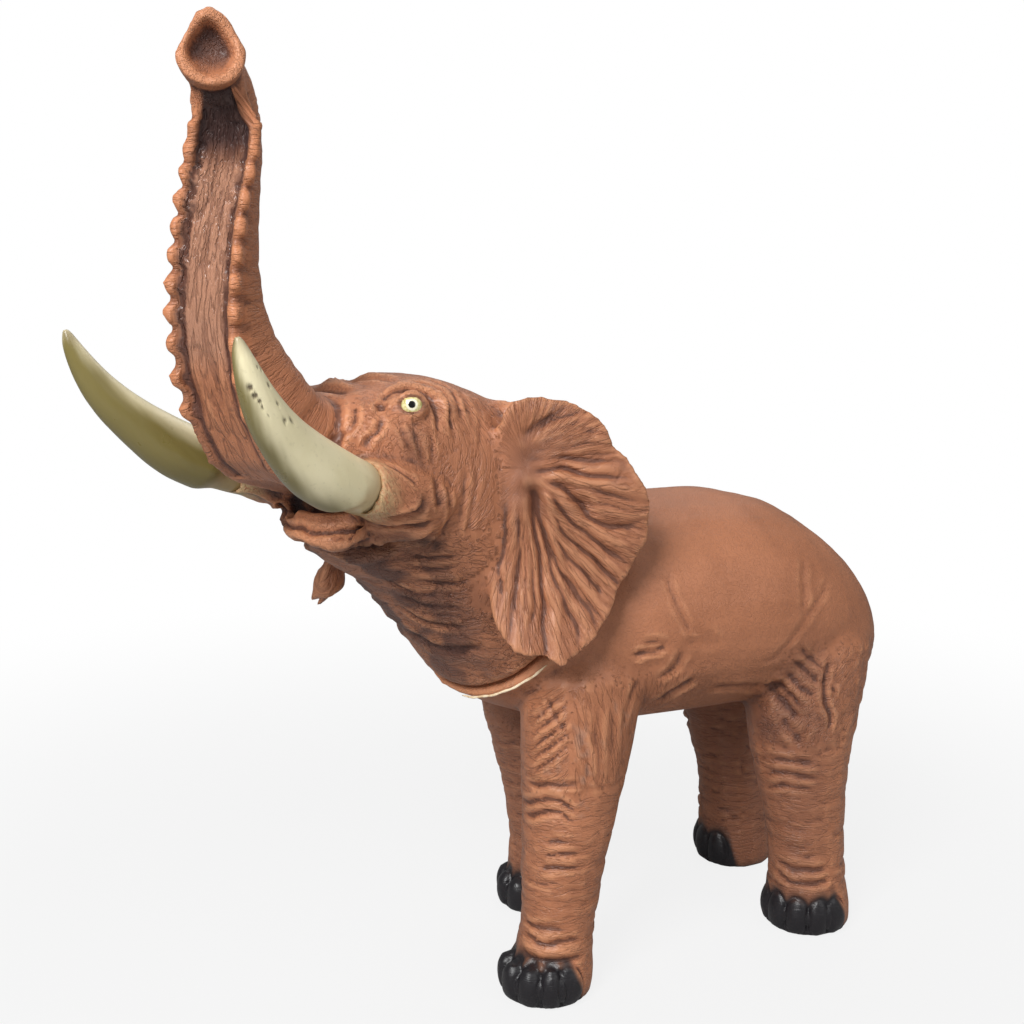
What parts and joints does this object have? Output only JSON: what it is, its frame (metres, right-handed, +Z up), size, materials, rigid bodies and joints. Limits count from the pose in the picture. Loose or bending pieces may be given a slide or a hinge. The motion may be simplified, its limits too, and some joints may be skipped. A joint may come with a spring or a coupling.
{
  "type": "toy elephant figure",
  "caption": "Hollow soft vinyl toy elephant on four legs, trunk raised, mouth open, ears spread, with pushed-in tusks, bead eyes and a head that turns in the neck opening.",
  "frame": {"origin": "on the floor, under the middle of the bounding box", "axes": "+Z up; the elephant's body faces -Y; +X is its left side"},
  "size_m": [0.166, 0.3192, 0.329],
  "materials": {
    "brown_vinyl": "satin soft vinyl with a fine leather grain",
    "ivory_plastic": "semi-gloss, sprayed ivory to olive",
    "eye_plastic": "clear gloss over a pale yellow ring and a black pupil",
    "fibre_fill": "loose white polyester fibre"
  },
  "bodies": {
    "body": {"body_shell": "brown_vinyl", "body_filling": "fibre_fill", "tail": "brown_vinyl"},
    "head": {"head_shell": "brown_vinyl", "head_filling": "fibre_fill", "tusk_left": "ivory_plastic", "tusk_right": "ivory_plastic", "eye_left": "eye_plastic", "eye_right": "eye_plastic"}
  },
  "joints": [
    {"name": "head_swivel", "type": "hinge", "parent": "body", "child": "head", "pos_m": [-0.00174, -0.00933, 0.1425], "axis": [0.232, -0.7587, 0.6088], "range_deg": [-35, 35]}
  ]
}
